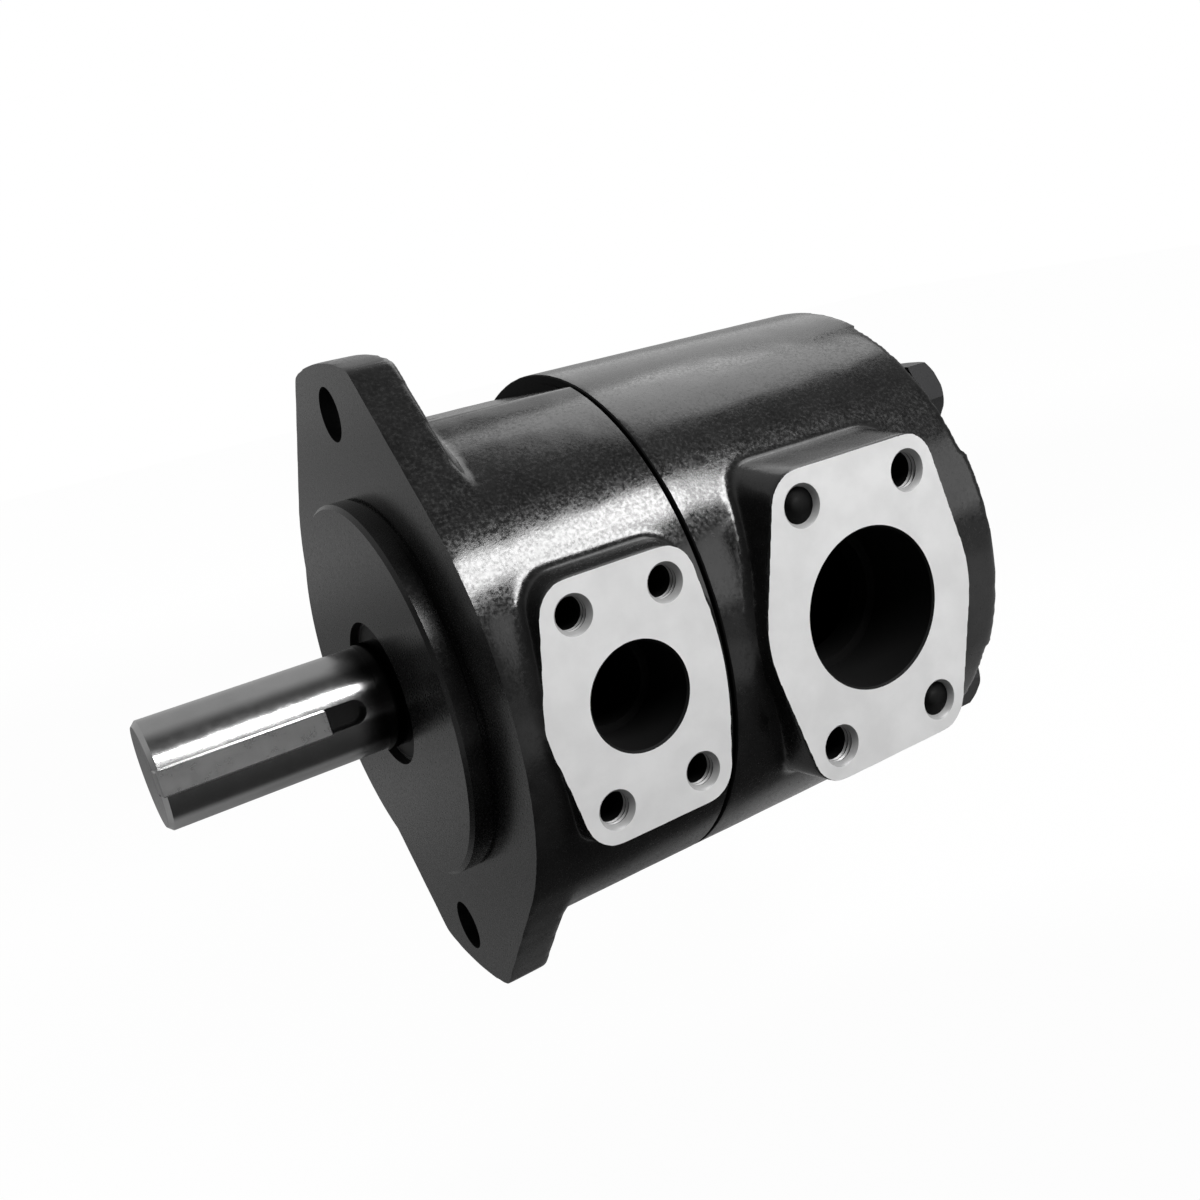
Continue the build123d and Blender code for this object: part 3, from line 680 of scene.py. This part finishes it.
def front_hollow_cutter():
    """Seal bore, bearing pocket, pressure chamber and cartridge socket, front to rear, all in painted shade.
    """
    open_x = -PILOT_H - HOLLOW_OVERRUN
    seal_r = seal_high[1]
    stop_r = seal_r - SEAL_STOP_H
    stop_x = seal_high[0] + SEAL_STOP_W
    race_r = race_high[1]
    chamber_r = CARTRIDGE_R - CHAMBER_LEDGE
    socket_r = CARTRIDGE_R + SOCKET_GAP
    socket_end_x = SEAM_X + SOCKET_OVERRUN
    profile = [(open_x, 0), (open_x, seal_r), (seal_high[0], seal_r), (seal_high[0], stop_r),
               (stop_x, stop_r), (stop_x, SHAFT_SPACE_R), (race_low[0], SHAFT_SPACE_R), (race_low[0], race_r),
               (POCKET_END_X, race_r), (POCKET_END_X, chamber_r), (plate_low[0], chamber_r),
               (plate_low[0], socket_r), (socket_end_x, socket_r), (socket_end_x, 0)]
    return lathe("front_hollow_cut", profile, BORE_SHADE, 128)


def rear_hollow_cutter():
    """Suction chamber round the boss that holds the bushing, and the oil pocket behind it, all in painted
    shade.
    """
    open_x = SEAM_X - CHAMBER_OVERRUN
    chamber_r = CARTRIDGE_R + SUCTION_GAP
    chamber_end_x = COVER_END_X - COVER_WALL
    bushing_r = -bushing_low[2]
    bushing_end_x = bushing_high[0]
    pocket_end_x = bushing_end_x + OIL_POCKET_W
    profile = [(open_x, 0), (open_x, chamber_r), (chamber_end_x, chamber_r), (chamber_end_x, BOSS_R),
               (BOSS_FACE_X, BOSS_R), (BOSS_FACE_X, bushing_r), (bushing_end_x, bushing_r),
               (bushing_end_x, OIL_POCKET_R), (pocket_end_x, OIL_POCKET_R), (pocket_end_x, 0)]
    return lathe("rear_hollow_cut", profile, BORE_SHADE, 128)


# ---- the two castings: rough blank, softened, then machined ----

def front_blank():
    """Sharp front blank: barrel with two flats, eared flange, outlet pad and the reliefs behind the ears."""
    blank = disc("front_casting", BODY_R, BARREL_START_X, SEAM_X + CAST_STOCK, CAST, 256)

    def place(u, v, w):
        return (-CAST_STOCK + w, u, v)
    flange = prism("flange_blank", flange_points(), place, FLANGE_T + CAST_STOCK, CAST)
    for sign in (-1, 1):
        low_z, high_z = sorted((sign * FLAT_Z, sign * (FLAT_Z + FLAT_CUT_H)))
        flat = box("flat_cut", (FLANGE_T - FLAT_UNDERRUN, -FLAT_HALF_W, low_z),
                   (SEAM_X + FLAT_OVERRUN, FLAT_HALF_W, high_z), CAST)
        flat.data.transform(Matrix.Rotation(math.radians(FLAT_TILT), 4, "X"))
        cut_all(blank, [flat])
    union_all(blank, [flange, pad_blank(OUTLET)])
    for sign in (-1, 1):
        cut_all(blank, [disc("relief_cut", EAR_RELIEF_R, FLANGE_T, FLANGE_T + EAR_RELIEF_DEPTH, CAST, 64,
                             z=sign * MOUNT_Z)])
    return blank


def pilot_disc():
    """Pilot with a broken edge and an undercut at its root."""
    root_r = PILOT_R - PILOT_UNDERCUT_H
    profile = [(-PILOT_H, 0), (-PILOT_H, PILOT_R - PILOT_EDGE), (-PILOT_H + PILOT_EDGE, PILOT_R),
               (-PILOT_UNDERCUT_W, PILOT_R), (-PILOT_UNDERCUT_W / 2, root_r), (PILOT_SINK, root_r),
               (PILOT_SINK, 0)]
    return lathe("pilot_blank", profile, FLANGE_PAINT, 256)


def build_front_body():
    """Front casting with its machined flange face, pilot, port and inner hollow."""
    body = front_blank()
    soften(body)
    cutters = [
        end_face_cutter("face_cut", -CUT_REACH, 0, FLANGE_PAINT),
        # the face at the seam is in painted shade
        end_face_cutter("seam_cut", SEAM_X, SEAM_X + CUT_REACH, SEAM_SHADE),
        pad_face_cutter(OUTLET),
    ]
    for sign in (-1, 1):
        # the mounting holes, in painted shade
        cutters.append(disc("mount_hole_cut", MOUNT_HOLE_R, -MOUNT_OVERRUN, FLANGE_T + MOUNT_OVERRUN,
                            BORE_SHADE, 96, z=sign * MOUNT_Z))
    cutters.append(seam_cutter(-1))
    cutters += port_cutters(OUTLET)
    cut_all(body, cutters)
    union_all(body, [pilot_disc()])
    cut_all(body, [front_hollow_cutter()])
    smooth_by_angle(body)
    return body


def rear_blank():
    """Sharp cover blank: barrel with a rounded end, inlet pad and the reliefs round the cover bolts."""
    corner_x = COVER_END_X - COVER_EDGE_R
    corner_r = BODY_R - COVER_EDGE_R
    corner = []
    for angle in range(0, 91, 15):
        out, back = polar(COVER_EDGE_R, angle)
        corner.append((corner_x + back, corner_r + out))
    start_x = SEAM_X - CAST_STOCK
    blank = lathe("rear_casting", [(start_x, 0), (start_x, BODY_R), *corner, (COVER_END_X, 0)], CAST, 256)
    union_all(blank, [pad_blank(INLET)])
    cut_all(blank, cover_bolt_cutters("relief_cut", COVER_RELIEF_R, COVER_RELIEF_DEPTH))
    return blank


def cover_bolt_cutters(name, radius, depth):
    """One round cut about each cover bolt, from the cover's end."""
    places = [polar(BOLT_CIRCLE_R, angle) for angle in BOLT_ANGLES]
    return [disc(name, radius, COVER_END_X - depth, COVER_END_X + END_OVERRUN, CAST, 96, y, z)
            for y, z in places]


def build_rear_cover():
    """Cover with its machined seam, port, bolt seats and inner hollow."""
    cover = rear_blank()
    soften(cover)
    cutters = [
        # the face at the seam is in painted shade
        end_face_cutter("seam_cut", SEAM_X - CUT_REACH, SEAM_X, SEAM_SHADE),
        pad_face_cutter(INLET),
    ]
    cutters += cover_bolt_cutters("seat_cut", BOLT_SEAT_R, BOLT_SEAT_DEPTH)
    cutters.append(seam_cutter(1))
    cutters += port_cutters(INLET)
    cutters.append(rear_hollow_cutter())
    cut_all(cover, cutters)
    smooth_by_angle(cover)
    return cover


front_casting = build_front_body()
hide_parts("front_body")
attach(front_casting, "housing")
rear_casting = build_rear_cover()
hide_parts("rear_cover")
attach(rear_casting, "housing")


# ---- floor, light and camera, in metres ----

FLOOR_DROP = 0.06
FLOOR_HALF = 4.0
FLOOR_CENTRE_Y = -0.20
FLOOR_STRETCH = (3.0, 2.0, 1.0)
# Floor tone against stretched distance from the centre: a painted shadow below the pump, pale round it, a dim
# ring of painted shade beyond and pale again far away.
FLOOR_SHADE_TONES = ((0.088, 0.03), (0.112, 0.36), (0.28, 0.36), (0.38, 0.12), (0.52, 0.12), (0.72, 0.9))
FLOOR_WHITE = 1.03

# Softboxes: name, place, the point they face, width, height and radiance.
SOFTBOXES = (
    ("key_softbox", (0.42, -0.80, 0.91), (0.05, -0.07, 0.05), 0.75, 0.28, 24.0),
    ("back_softbox", (0.742, 0.316, 0.992), (0.1, -0.03, 0.08), 0.6, 0.478, 2.1),
    ("low_back_softbox", (0.727, 0.748, 0.68), (0.1, -0.02, 0.08), 0.6, 0.62, 0.7),
    ("front_fill", (0.95, -1.15, 0.4), (0.06, -0.07, 0.0), 1.0, 0.7, 1.5),
)

CAMERA_PLACE = (-0.11305, -0.37372, 0.11200)
CAMERA_TURN = (73.923, 11.159, -33.009)
CAMERA_LENS = 36.0
CAMERA_SHIFT = (-0.0508, 0.0160)


def backdrop_share(tree, to_camera, to_gloss, mask):
    """Share of plain white that the camera sees, and that metal and glass see where the mask allows."""
    path = tree.nodes.new("ShaderNodeLightPath")
    gloss = math_node(tree, "MAXIMUM", path.outputs["Is Glossy Ray"], path.outputs["Is Transmission Ray"])
    in_gloss = math_node(tree, "MULTIPLY", math_node(tree, "MULTIPLY", gloss, to_gloss), mask)
    in_camera = math_node(tree, "MULTIPLY", path.outputs["Is Camera Ray"], to_camera)
    return math_node(tree, "MAXIMUM", in_camera, in_gloss)


def floor_reach(tree, floor_z):
    """Distance from the floor's centre, shortened along the stretch."""
    coord = tree.nodes.new("ShaderNodeTexCoord")
    place = tree.nodes.new("ShaderNodeMapping")
    place.vector_type = "TEXTURE"
    place.inputs["Location"].default_value = (0.0, FLOOR_CENTRE_Y, floor_z)
    place.inputs["Scale"].default_value = FLOOR_STRETCH
    tree.links.new(coord.outputs["Object"], place.inputs["Vector"])
    return length(tree, place.outputs["Vector"])


def floor_shade_tone(tree, reach):
    """The floor's tones against that distance, with its painted shadow and painted shade."""
    tone = tree.nodes.new("ShaderNodeValToRGB")
    elements = tone.color_ramp.elements
    for position, level in FLOOR_SHADE_TONES:
        elements.new(position).color = (*grey(level), 1.0)
    for spare in (elements[-1], elements[0]):
        elements.remove(spare)
    tree.links.new(reach, tone.inputs["Fac"])
    return tone.outputs["Color"]


def make_floor():
    """Plain pale floor: white to the camera, while in reflections it keeps the shadow and its tones of
    painted shadow and shade.
    """
    floor_z = cad_low.z - FLOOR_DROP
    bm = bmesh.new()
    bmesh.ops.create_grid(bm, x_segments=1, y_segments=1, size=FLOOR_HALF / MM)
    bmesh.ops.translate(bm, vec=(0, 0, floor_z / MM), verts=bm.verts)
    material, tree, shader = new_material("pale_floor")
    shader.inputs["Roughness"].default_value = 0.9
    reach = floor_reach(tree, floor_z)
    # base colour with the painted shadow under the pump and the ring of painted shade
    tree.links.new(floor_shade_tone(tree, reach), shader.inputs["Base Color"])
    far = map_range(tree, reach, FLOOR_SHADE_TONES[0][0], FLOOR_SHADE_TONES[1][0])
    white = tree.nodes.new("ShaderNodeEmission")
    white.inputs["Color"].default_value = (1.0, 1.0, 1.0, 1.0)
    white.inputs["Strength"].default_value = FLOOR_WHITE
    mix = tree.nodes.new("ShaderNodeMixShader")
    tree.links.new(backdrop_share(tree, 0.95, 0.1, far), mix.inputs["Fac"])
    tree.links.new(shader.outputs["BSDF"], mix.inputs[1])
    tree.links.new(white.outputs["Emission"], mix.inputs[2])
    output = next(node for node in tree.nodes if node.type == "OUTPUT_MATERIAL")
    tree.links.new(mix.outputs["Shader"], output.inputs["Surface"])
    floor = mesh_object("floor", bm, material)


def make_softbox(name, place, aim, width, height, radiance):
    """Rectangular light facing a point, with its width level."""
    light = bpy.data.lights.new(name, "AREA")
    light.shape = "RECTANGLE"
    light.size = width
    light.size_y = height
    light.energy = radiance * math.pi * width * height
    obj = bpy.data.objects.new(name, light)
    obj.location = place
    obj.rotation_euler = (Vector(aim) - Vector(place)).to_track_quat("-Z", "Y").to_euler()
    scene.collection.objects.link(obj)


def make_world():
    """Studio walls: white to the camera, dim toward -Y and brighter toward +Y for the object."""
    world = bpy.data.worlds.new("studio")
    scene.world = world
    world.use_nodes = True
    tree = world.node_tree
    background = next(node for node in tree.nodes if node.type == "BACKGROUND")
    background.inputs["Color"].default_value = (1.0, 1.0, 1.0, 1.0)
    direction = separate(tree, tree.nodes.new("ShaderNodeTexCoord").outputs["Generated"])
    walls = map_range(tree, direction["Y"], -0.2, 0.4, low=0.08, high=0.42)
    horizon = map_range(tree, direction["Z"], 0.5, 0.1, interpolation="LINEAR")
    share = backdrop_share(tree, 1.0, 0.08, horizon)
    dimmed = math_node(tree, "MULTIPLY", walls, math_node(tree, "SUBTRACT", 1.0, share))
    tree.links.new(math_node(tree, "ADD", dimmed, share), background.inputs["Strength"])


def make_camera():
    data = bpy.data.cameras.new("camera")
    data.sensor_width = 36.0
    data.lens = CAMERA_LENS
    data.shift_x, data.shift_y = CAMERA_SHIFT
    camera = bpy.data.objects.new("camera", data)
    camera.location = CAMERA_PLACE
    camera.rotation_euler = Euler([math.radians(a) for a in CAMERA_TURN], "XYZ")
    scene.collection.objects.link(camera)
    return camera


make_floor()
for softbox in SOFTBOXES:
    make_softbox(*softbox)
make_world()
bpy.context.scene.camera = make_camera()
scene.view_settings.view_transform = "Standard"
